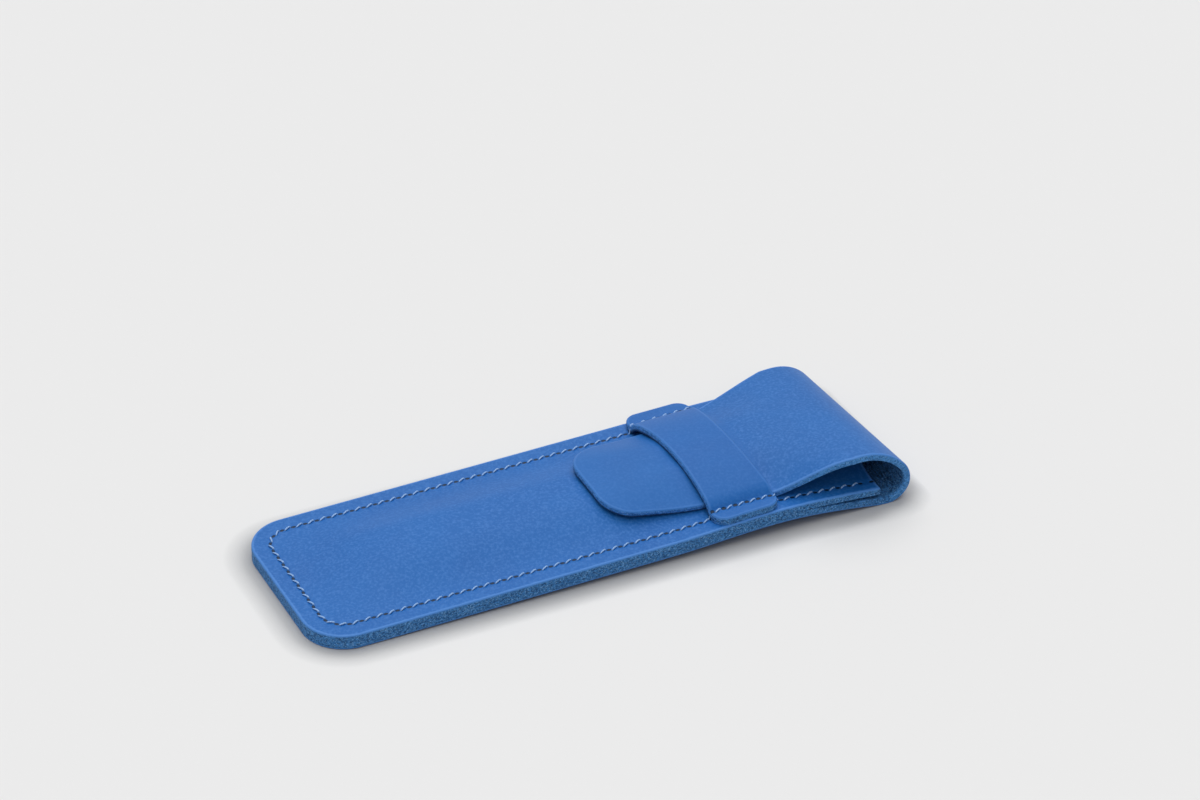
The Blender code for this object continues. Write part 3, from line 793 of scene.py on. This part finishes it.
def waxed_thread(name, base, deep):
    """Twisted waxed thread: slanting plies, and painted shade on the ends where a stitch enters its
    holes.
    """
    material, tree, shader = new_material(name)
    field = parts_of(tree, "seam")
    turns = maths(tree, "ADD", maths(tree, "MULTIPLY", field[1], PLIES_PER_STITCH), field[0])
    plies = maths(tree, "PINGPONG", turns, 0.5)
    fuzz = noise(tree, place_of(tree), *FUZZ_NOISE)
    colour = tinted(tree, deep, plies, PLY_SPAN, base)
    colour = tinted(tree, colour, fuzz, FUZZ_SPAN, deep)
    # Painted shade: the thread darkens towards both ends, where it dives into the holes
    to_hole = maths(tree, "PINGPONG", field[1], 0.5)
    colour = tinted(tree, colour, to_hole, THREAD_END_SHADE_SPAN, deep)
    colour = tinted(tree, colour, to_hole, THREAD_HOLE_SHADE_SPAN, PAINTED_SHADE_DARK)
    bumped(tree, shader, relief(tree, (plies, PLY_HEIGHT), (fuzz, FUZZ_HEIGHT)), THREAD_BUMP)
    finished(tree, shader, colour, THREAD_ROUGHNESS, THREAD_SPECULAR)
    return material


# Colours of the materials, linear
PANEL_BASE = (0.009, 0.127, 0.438)
PANEL_PALE = (0.017, 0.145, 0.464)
PANEL_DEEP = (0.005, 0.111, 0.404)
FLAP_BASE = (0.010, 0.131, 0.441)
FLAP_PALE = (0.019, 0.149, 0.467)
FLAP_DEEP = (0.006, 0.115, 0.406)
# Colour of the painted highlight on the rims and on the tops of the cut edges
RIM_HIGHLIGHT_COLOUR = (0.075, 0.245, 0.640)
EDGE_BASE = (0.050, 0.222, 0.555)
EDGE_PALE = (0.200, 0.460, 0.840)
EDGE_DEEP = (0.010, 0.070, 0.200)
# The flap's cut edge, also used on the keeper and tongue, is lighter than the panel's: partly a
# bluer edge colour of its own, partly painted light on the fold's outside
FLAP_EDGE_PAINTED_LIGHT_BASE = (0.068, 0.285, 0.690)
FLAP_EDGE_PAINTED_LIGHT_DEEP = (0.020, 0.125, 0.345)
FLESH_BASE = (0.065, 0.240, 0.560)
FLESH_PALE = (0.220, 0.450, 0.760)
FLESH_DEEP = (0.010, 0.055, 0.150)
THREAD_BASE = (0.300, 0.510, 0.860)
THREAD_DEEP = (0.035, 0.125, 0.300)
# Near-black of painted shade: needle holes, the foot of raised cut edges, the ends of the thread
# and high up inside the fold
PAINTED_SHADE_DARK = (0.001, 0.015, 0.045)

# Noises: cells in a metre, detail and roughness
CLOUD_NOISE = (38.0, 4.0, 0.6)
PATCH_NOISE = (260.0, 3.0, 0.55)
PORE_NOISE = (2600.0, 2.0, 0.6)
PIT_NOISE = (1300.0, 2.0, 0.5)
CREASE_SCALE = 1500.0
FIBRE_NOISE = (1900.0, 3.0, 0.65)
FIBRE_STRETCH = (0.6, 0.6, 1.0)
SPECK_NOISE = (3300.0, 2.0, 0.6)
BAND_NOISE = (420.0, 2.0, 0.5)
NAP_NOISE = (1500.0, 4.0, 0.7)
NAP_STRETCH = (1.0, 0.45, 1.0)
TUFT_NOISE = (2600.0, 2.0, 0.6)
SHADE_NOISE = (150.0, 3.0, 0.6)
FUZZ_NOISE = (6000.0, 2.0, 0.6)

# Spans: a value's low and high ends, then what it becomes there, where that isn't 0 and 1
CLOUD_SPAN = (0.35, 0.65)
ROUGHNESS_SPAN = (0.3, 0.7, 0.47, 0.53)
PATCH_SPAN = (0.42, 0.75, 0.0, 0.12)
PORE_SPAN = (0.40, 0.62, 0.0, 0.06)
PIT_SPAN = (0.70, 0.76, 0.0, 0.15)
CREASE_SPAN = (0.0, 0.12)
FIBRE_SPAN = (0.40, 0.58)
SPECK_SPAN = (0.52, 0.66, 0.0, 0.85)
BAND_SPAN = (0.45, 0.70, 0.0, 0.25)
CUT_RIM_HIGHLIGHT_SPAN = (0.30, 0.12)
FOOT_SHADE_SPAN = (0.55, 0.82, 0.0, 0.85)
NAP_SPAN = (0.38, 0.62)
TUFT_SPAN = (0.54, 0.70, 0.0, 0.80)
SHADE_SPAN = (0.45, 0.75, 0.0, 0.40)
FOLD_SHADE_SPAN = (0.0070, 0.0130, 0.0, 0.96)
PLY_SPAN = (0.02, 0.22, 0.45, 1.0)
FUZZ_SPAN = (0.5, 0.7, 0.0, 0.3)
THREAD_END_SHADE_SPAN = (0.26, 0.14)
THREAD_HOLE_SHADE_SPAN = (0.17, 0.12)

# Heights and depths of the relief, in metres
PORE_HEIGHT = 0.000005
CREASE_HEIGHT = 0.000004
PATCH_HEIGHT = 0.000006
GROOVE_DEPTH = 0.00014
HOLE_DEPTH = 0.00040
FIBRE_HEIGHT = 0.00022
SPECK_HEIGHT = 0.00010
NAP_HEIGHT = 0.00030
TUFT_HEIGHT = 0.00012
PLY_HEIGHT = 0.00012
FUZZ_HEIGHT = 0.00003

# Finish: strength of the relief, roughness and gloss
LEATHER_BUMP = 0.6
LEATHER_SPECULAR = 0.27
CUT_BUMP = 0.9
CUT_ROUGHNESS = 0.72
CUT_SPECULAR = 0.25
FLESH_ROUGHNESS = 0.92
FLESH_SPECULAR = 0.12
THREAD_BUMP = 0.8
THREAD_ROUGHNESS = 0.42
THREAD_SPECULAR = 0.5

# Painted rim highlight, seam groove, needle holes with painted shade, and thread
RIM_HIGHLIGHT_REACH = 0.00095
RIM_HIGHLIGHT_CORE = 0.00050
RIM_HIGHLIGHT_RAGGEDNESS = 0.0007
# Strength of the painted rim highlight on each kind of leather
BODY_RIM_HIGHLIGHT = 0.80
FLAP_RIM_HIGHLIGHT = 0.35
GROOVE_REACH = 0.0010
GROOVE_SHARE = 0.35
HOLE_REACH = 0.00080
HOLE_CORE = 0.00052
HOLE_SLIMNESS = 1.6
PLIES_PER_STITCH = 5.0

panel_grain = leather("Panel leather", PANEL_BASE, PANEL_PALE, PANEL_DEEP, True, BODY_RIM_HIGHLIGHT)
keeper_grain = leather("Keeper leather", PANEL_BASE, PANEL_PALE, PANEL_DEEP, True, FLAP_RIM_HIGHLIGHT)
flap_grain = leather("Flap leather", FLAP_BASE, FLAP_PALE, FLAP_DEEP, False, BODY_RIM_HIGHLIGHT)
tongue_grain = leather("Tongue leather", FLAP_BASE, FLAP_PALE, FLAP_DEEP, False, FLAP_RIM_HIGHLIGHT)
panel_cut = cut_edge("Panel cut edge", EDGE_BASE, EDGE_PALE, EDGE_DEEP, BODY_RIM_HIGHLIGHT, False)
flap_cut = cut_edge("Flap cut edge", FLAP_EDGE_PAINTED_LIGHT_BASE, EDGE_PALE, FLAP_EDGE_PAINTED_LIGHT_DEEP, BODY_RIM_HIGHLIGHT, False)
keeper_cut = cut_edge("Keeper cut edge", FLAP_EDGE_PAINTED_LIGHT_BASE, EDGE_PALE, FLAP_EDGE_PAINTED_LIGHT_DEEP, FLAP_RIM_HIGHLIGHT, True)
tongue_cut = cut_edge("Tongue cut edge", FLAP_EDGE_PAINTED_LIGHT_BASE, EDGE_PALE, FLAP_EDGE_PAINTED_LIGHT_DEEP, FLAP_RIM_HIGHLIGHT, True)
flesh = flesh_side("Flesh side", FLESH_BASE, FLESH_PALE, FLESH_DEEP)
needle_cord = waxed_thread("Needle thread", THREAD_BASE, THREAD_DEEP)
bobbin_cord = waxed_thread("Bobbin thread", THREAD_BASE, THREAD_DEEP)


# Long strip: back panel, fold, flap and tongue

STRIP_COLUMNS = 44
CORNER_STEPS = 22
BODY_STEPS = 110
APPROACH_STEPS = 5
CHUNK_STEPS = 7
FLAP_STEPS = 28
NECK_STEPS = 12
TONGUE_STEPS = 34
TONGUE_CORNER_STEPS = 16


def trimmed_span(x, end, radii, reaches):
    """Shares v of a row's trimmed ends, from the outline's near and far reach at x."""
    near, far = reaches
    trimmed = []
    for radius, reach in zip(radii, reaches):
        square = reach + corner_inset(x - end, radius)
        trimmed.append(square - EDGE_TRIM - corner_inset(x - end - EDGE_TRIM,
                                                         radius - EDGE_TRIM))
    return 2 * (near - trimmed[0]) / (near + far) - 1, 2 * (near + trimmed[1]) / (near + far) - 1


def body_span(x):
    """Shares v of the trimmed ends of a row across the body."""
    reach = body_half_width(x)
    return trimmed_span(x, 0, (CORNER_RADIUS, CORNER_RADIUS), (reach, reach))


def flap_span(x):
    """Shares v of the trimmed ends of a row across the flap or the tongue."""
    return trimmed_span(x, TONGUE_TIP, (TONGUE_CORNER_RADIUS_NEAR, TONGUE_CORNER_RADIUS_FAR),
                        (flap_reach(x, -1), flap_reach(x, 1)))


def body_corner():
    """Places along the body where its round corners have a row."""
    reach = CORNER_RADIUS - EDGE_TRIM
    return [EDGE_TRIM + reach * (1 - math.cos(math.pi / 2 * step / CORNER_STEPS))
            for step in range(CORNER_STEPS + 1)]


def strip_stations():
    """Rows of the strip: surface, value, trimmed span, leather thickness and edge radii."""
    panel = (PANEL_LEATHER, (BASE_ROUND, SEWN_ROUND))
    loose = (LEATHER, (TOP_ROUND, BASE_ROUND))
    full = (EDGE_TRIM / HALF_WIDTH - 1, 1 - EDGE_TRIM / HALF_WIDTH)
    xs = body_corner() + spread(CORNER_RADIUS, FOLD_START, BODY_STEPS)[1:]
    rows = [(back_point, x, body_span(x), *panel) for x in xs]
    rows += [(approach_point, share, full, *panel) for share in spread(0, 1, APPROACH_STEPS)[1:]]
    counts = [len(rows) - 1]
    for chunk in range(HINGE_COUNT):
        for share in spread(0, 1, CHUNK_STEPS)[1:]:
            blend = smooth(chunk + share)
            thickness = PANEL_LEATHER + (LEATHER - PANEL_LEATHER) * blend
            radii = (BASE_ROUND + (TOP_ROUND - BASE_ROUND) * blend, BASE_ROUND)
            rows.append((roll_point, (chunk + share) * HINGE_TURN, full, thickness, radii))
        counts.append(len(rows) - 1)
    for share in spread(0, 1, FLAP_STEPS)[1:]:
        x = mix(roll_point(TOP_ARC_END, 0).x, FLAP_ROOT, 2 * share - 1)
        rows.append((flap_point, share, flap_span(x), *loose))
    tip = TONGUE_TIP + EDGE_TRIM
    corner = TONGUE_CORNER_REACH - EDGE_TRIM
    xs = spread(FLAP_ROOT, TONGUE_NECK, NECK_STEPS)[1:]
    xs += spread(TONGUE_NECK, tip + corner, TONGUE_STEPS)[1:]
    xs += [tip + corner * (1 - math.sin(math.pi / 2 * step / TONGUE_CORNER_STEPS))
           for step in range(1, TONGUE_CORNER_STEPS + 1)]
    rows += [(tongue_point, FLAP_ROOT - x, flap_span(x), *loose) for x in xs]
    return rows, counts


def make_strip():
    """Build the whole strip with round cut edges, and part it at the middle of each bend."""
    stations, counts = strip_stations()
    outer, inner, rounds = [], [], []
    for surface, value, span, thickness, radii in stations:
        columns = spread(*span, STRIP_COLUMNS)
        outer.append([surface(value, v) for v in columns])
        inner.append([surface(value, v) + thickness * inward(surface, value, v)
                      for v in columns])
        rounds.append(radii)
    names = (["back_panel_leather"] + [f"fold_leather_{index + 1}"
                                       for index in range(HINGE_COUNT)] + ["flap_leather"])
    made = pieces_of(slab("strip", outer, inner, rounds),
                     lambda row: names[sum(row >= count for count in counts)], names,
                     (flap_grain, flap_cut, flesh))
    return [made[name] for name in names]


strip = make_strip()
back, folds, flap = strip[0], strip[1:-1], strip[-1]
back.data.materials[GRAIN], back.data.materials[CUT] = panel_grain, panel_cut
recolour(flap, lambda place: place.x < FLAP_ROOT, {GRAIN: tongue_grain, CUT: tongue_cut})
mark(back, sewn)
for piece in folds + [flap]:
    mark(piece, unsewn)
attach(back, "case")
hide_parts("back_panel")
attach(flap, "flap")
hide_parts("flap_cover", "flap_tongue")


def bend_span(index):
    """Start and end of a bend: where its two ends stop following a single body."""
    start, end = index * HINGE_TURN, (index + 1) * HINGE_TURN
    middle = (start + end) / 2
    first, last = roll_point(start, 0), roll_point(end, 0)
    direction = (last - first).normalized()
    depth = LEATHER * math.sin(HINGE_TURN / 2) / 2
    return first + direction * depth, last - direction * depth


for index, piece in enumerate(folds):
    start, end = bend_span(index)
    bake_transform(piece)
    if index < HINGE_COUNT - 1:
        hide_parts(f"fold_{index + 1}")


# Front panel

FRONT_COLUMNS = 56
FRONT_STEPS = 130


def make_front():
    """Front panel: crowned outer face, with the sewn edges lying on the back panel."""
    xs = body_corner() + spread(CORNER_RADIUS, BODY_LENGTH - EDGE_TRIM, FRONT_STEPS)[1:]
    outer, inner = [], []
    for x in xs:
        ys = [v * body_half_width(x) for v in spread(*body_span(x), FRONT_COLUMNS)]
        outer.append([Vector((x, y, front_face(x, y))) for y in ys])
        inner.append([Vector((x, y, front_face(x, y) - PANEL_LEATHER)) for y in ys])
    mesh = slab("front_panel_leather", outer, inner, [(TOP_ROUND, SEWN_ROUND)] * len(xs))
    return mark(link("front_panel_leather", mesh, (panel_grain, panel_cut, flesh)), sewn)


front = make_front()
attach(front, "case")
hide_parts("front_panel")


# Keeper strap

KEEPER_COLUMNS = 14
EAR_STEPS = 14
RISE_STEPS = 26
KEEPER_CROWN_STEPS = 40


def keeper_stations():
    """Places across the case where the strap has a row, near side first."""
    steep = math.sin(KEEPER_FOOT_ANGLE)
    gentle = math.sin(KEEPER_CROWN_ANGLE)
    top_of_rise = (KEEPER_FOOT - KEEPER_FOOT_RADIUS * steep
                   - KEEPER_SHOULDER_RADIUS * (steep - gentle))
    reach = KEEPER_EAR_RADIUS - EDGE_TRIM
    sides = []
    for end in (keeper_end(-1), keeper_end(1)):
        ear = [end - EDGE_TRIM - reach * (1 - math.cos(math.pi / 2 * step / EAR_STEPS))
               for step in range(EAR_STEPS + 1)]
        sides.append(ear + spread(end - KEEPER_EAR_RADIUS, top_of_rise, RISE_STEPS)[1:])
    crown = spread(top_of_rise, -top_of_rise, KEEPER_CROWN_STEPS)[1:-1]
    return [-y for y in sides[0]] + [-y for y in crown] + sides[1][::-1]


def keeper_shares(y):
    """Shares of the strap's width at its trimmed sides, for a row at y."""
    closed_side, mouth_side = keeper_span(y)
    to_end = keeper_end(y) - abs(y)
    trim = (EDGE_TRIM - corner_inset(to_end, KEEPER_EAR_RADIUS)
            + corner_inset(to_end - EDGE_TRIM, KEEPER_EAR_RADIUS - EDGE_TRIM))
    share = trim / (mouth_side - closed_side)
    return share, 1 - share


def make_keeper():
    """Keeper strap: flat ears that lie on the front panel, and an arch over the flap."""
    outer, inner, rounds = [], [], []
    for y in keeper_stations():
        up = Vector((0, -slope_of(keeper_rise, y), 1)).normalized()
        raised = min(keeper_rise(y) / GAP, 1)
        under = LEATHER / 2 + (GAP - SEWN_GAP) * (1 - raised)
        middle = [keeper_point(share, y) for share in spread(*keeper_shares(y), KEEPER_COLUMNS)]
        outer.append([point + up * LEATHER / 2 for point in middle])
        inner.append([point - up * under for point in middle])
        rounds.append((TOP_ROUND, SEWN_ROUND + (BASE_ROUND - SEWN_ROUND) * raised))
    mesh = slab("keeper_strap_leather", outer, inner, rounds)
    thing = link("keeper_strap_leather", mesh, (keeper_grain, keeper_cut, flesh))
    recolour(thing, lambda place: abs(place.y) > KEEPER_FOOT, {CUT: panel_cut})
    return mark(thing, sewn)


keeper = make_keeper()
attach(keeper, "case")
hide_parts("keeper_strap")


# Stitches

STITCH_SIDES = 8
STITCH_SECTIONS = 8


def make_stitches(name, level, side, material):
    """All the stitches of one face: each one arches from a hole to the next and slants."""
    maker = bmesh.new()
    fields = []
    for stitch in range(STITCHES):
        rings = []
        for section in range(STITCH_SECTIONS + 1):
            share = section / STITCH_SECTIONS
            along = (1 - STITCH_LENGTH_SHARE) / 2 + STITCH_LENGTH_SHARE * share
            place, heading = seam_place((stitch + along) * PITCH)
            across = Vector((-heading.y, heading.x))
            slant = STITCH_SLANT * math.sin(math.pi * (share - 0.5))
            x, y = place + across * slant
            bow = math.sin(math.pi * share)
            arch = STITCH_ARCH * bow ** STITCH_ARCH_POWER
            height = side * (arch - STITCH_SINK * (1 - bow) ** 2)
            swell = THREAD_END_SHARE + (1 - THREAD_END_SHARE) * bow ** STITCH_SWELL_POWER
            radius = THREAD_RADIUS * swell
            centre = Vector((x, y, level(x, y) + height))
            ring = []
            for corner in range(STITCH_SIDES):
                turn = 2 * math.pi * corner / STITCH_SIDES
                offset = across * (radius * math.cos(turn))
                lift = THREAD_FLAT_SHARE * radius * math.sin(turn)
                ring.append(maker.verts.new(centre + Vector((offset.x, offset.y, lift))))
                fields.append((corner / STITCH_SIDES, stitch + along, 0))
            rings.append(ring)
        for first, second in zip(rings, rings[1:]):
            for corner in range(STITCH_SIDES):
                maker.faces.new((first[corner], first[corner - 1],
                                 second[corner - 1], second[corner]))
        maker.faces.new(rings[0])
        maker.faces.new(rings[-1])
    bmesh.ops.recalc_face_normals(maker, faces=maker.faces)
    for face in maker.faces:
        face.smooth = len(face.verts) == 4
    mesh = bpy.data.meshes.new(name)
    maker.to_mesh(mesh)
    maker.free()
    thing = link(name, mesh, (material,))
    mark(thing, unsewn)
    for item, value in zip(mesh.attributes["seam"].data, fields):
        item.vector = value
    return thing


def back_seam_level(x, y):
    """Height of what the back stitches lie on, a little inside the back panel's face."""
    return body_rise(x, y / HALF_WIDTH, BACK_DROP) + BACK_SEAM_SINK


front_stitches = make_stitches("front_stitches", sewn_face, 1, needle_cord)
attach(front_stitches, "case")
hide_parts("front_thread")
back_stitches = make_stitches("back_stitches", back_seam_level, -1, bobbin_cord)
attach(back_stitches, "case")
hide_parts("back_thread")


# Floor, lamps and camera

FLOOR_SEEN = (0.814, 0.814, 0.814)
FLOOR_BOUNCE = (0.60, 0.60, 0.60)
# Painted contact shadow on the floor: its reach, span, strength and colour
CONTACT_REACH = 0.008
CONTACT_FAINT = 0.02
CONTACT_FULL = 0.24
CONTACT_SHADOW_SHARE = 0.46
CONTACT_POWER = 0.7
CONTACT_SHADOW_DARK = (0.10, 0.10, 0.10)
WORLD_SEEN = (0.80, 0.80, 0.80)
WORLD_BOUNCE = (0.30, 0.30, 0.30)
KEY_STRENGTH = 1.15
KEY_ANGLE = math.radians(60)
KEY_DIRECTION = Vector((0.20, 0.50, 1.00))
TOP_STRENGTH = 0.93
TOP_ANGLE = math.radians(60)
TOP_DIRECTION = Vector((-0.15, -0.05, 1.00))
FRONT_STRENGTH = 0.42
FRONT_ANGLE = math.radians(50)
FRONT_DIRECTION = Vector((-0.35, -0.65, 1.00))
FLOOR_HALF = 2.5
FLOOR_DROP = 0.00002

CAMERA_AZIMUTH = math.radians(-25.667)
CAMERA_ELEVATION = math.radians(34.83)
CAMERA_ROLL = math.radians(-0.033)
CAMERA_DISTANCE = 1.4033
CAMERA_TARGET = Vector((0.116504, 0.046571, 0))
IMAGE_WIDTH = 1200
FOCAL_LENGTH_IN_PIXELS = 5032.2
SENSOR_WIDTH = 36


def seen_rays(tree):
    """Mask of the rays by which a surface is seen, straight or as a reflection."""
    path = node(tree, "ShaderNodeLightPath")
    return maths(tree, "MAXIMUM", path.outputs["Is Camera Ray"], path.outputs["Is Glossy Ray"])


def add_floor():
    """Plain pale floor, with a painted shadow where the case touches it: an occlusion test darkens
    its colour.
    """
    maker = bmesh.new()
    corners = [maker.verts.new((x * FLOOR_HALF, y * FLOOR_HALF, -FLOOR_DROP))
               for x, y in ((-1, -1), (1, -1), (1, 1), (-1, 1))]
    maker.faces.new(corners)
    mesh = bpy.data.meshes.new("floor")
    maker.to_mesh(mesh)
    maker.free()
    material, tree, shader = new_material("Floor")
    seen = seen_rays(tree)
    # Painted shadow: the floor's colour darkens where the case closes it in
    contact = node(tree, "ShaderNodeAmbientOcclusion", (("Distance", CONTACT_REACH),))
    closed_in = maths(tree, "SUBTRACT", 1.0, contact.outputs["AO"])
    painted_shadow = maths(tree, "POWER", ramp(tree, closed_in, CONTACT_FAINT, CONTACT_FULL), CONTACT_POWER)
    colour = shaded(tree, FLOOR_SEEN, painted_shadow, CONTACT_SHADOW_SHARE, CONTACT_SHADOW_DARK)
    colour = blend_colours(tree, seen, FLOOR_BOUNCE, colour)
    finished(tree, shader, colour, 1, 0)
    link("floor", mesh, (material,))


def add_sun(name, direction, strength, angle):
    """Soft far lamp that shines from a direction."""
    lamp = bpy.data.lights.new(name, "SUN")
    lamp.energy = strength
    lamp.angle = angle
    thing = bpy.data.objects.new(name, lamp)
    thing.rotation_euler = direction.to_track_quat("Z", "Y").to_euler()
    bpy.context.scene.collection.objects.link(thing)


def add_world():
    """Even surroundings, which look as pale as the floor."""
    world = bpy.data.worlds.new("Studio")
    world.use_nodes = True
    tree = world.node_tree
    background = tree.nodes["Background"]
    seen = seen_rays(tree)
    colour = blend_colours(tree, seen, WORLD_BOUNCE, WORLD_SEEN)
    tree.links.new(colour, background.inputs["Color"])
    background.inputs["Strength"].default_value = 1
    bpy.context.scene.world = world


def add_camera():
    """Camera at the photograph's viewing angle."""
    back_axis = Vector((math.sin(CAMERA_AZIMUTH) * math.cos(CAMERA_ELEVATION),
                        -math.cos(CAMERA_AZIMUTH) * math.cos(CAMERA_ELEVATION),
                        math.sin(CAMERA_ELEVATION)))
    right = Vector((0, 0, 1)).cross(back_axis).normalized()
    rotation = Matrix((right, back_axis.cross(right), back_axis)).transposed().to_4x4()
    place = Matrix.Translation(CAMERA_TARGET + back_axis * CAMERA_DISTANCE)
    lens = bpy.data.cameras.new("camera")
    lens.sensor_width = SENSOR_WIDTH
    lens.lens = FOCAL_LENGTH_IN_PIXELS / IMAGE_WIDTH * SENSOR_WIDTH
    camera = bpy.data.objects.new("camera", lens)
    camera.matrix_world = PLACE @ place @ rotation @ Matrix.Rotation(CAMERA_ROLL, 4, "Z")
    bpy.context.scene.collection.objects.link(camera)
    bpy.context.scene.camera = camera


add_floor()
add_sun("key", KEY_DIRECTION, KEY_STRENGTH, KEY_ANGLE)
add_sun("top", TOP_DIRECTION, TOP_STRENGTH, TOP_ANGLE)
add_sun("front", FRONT_DIRECTION, FRONT_STRENGTH, FRONT_ANGLE)
add_world()
add_camera()
bpy.context.scene.view_settings.view_transform = "Standard"
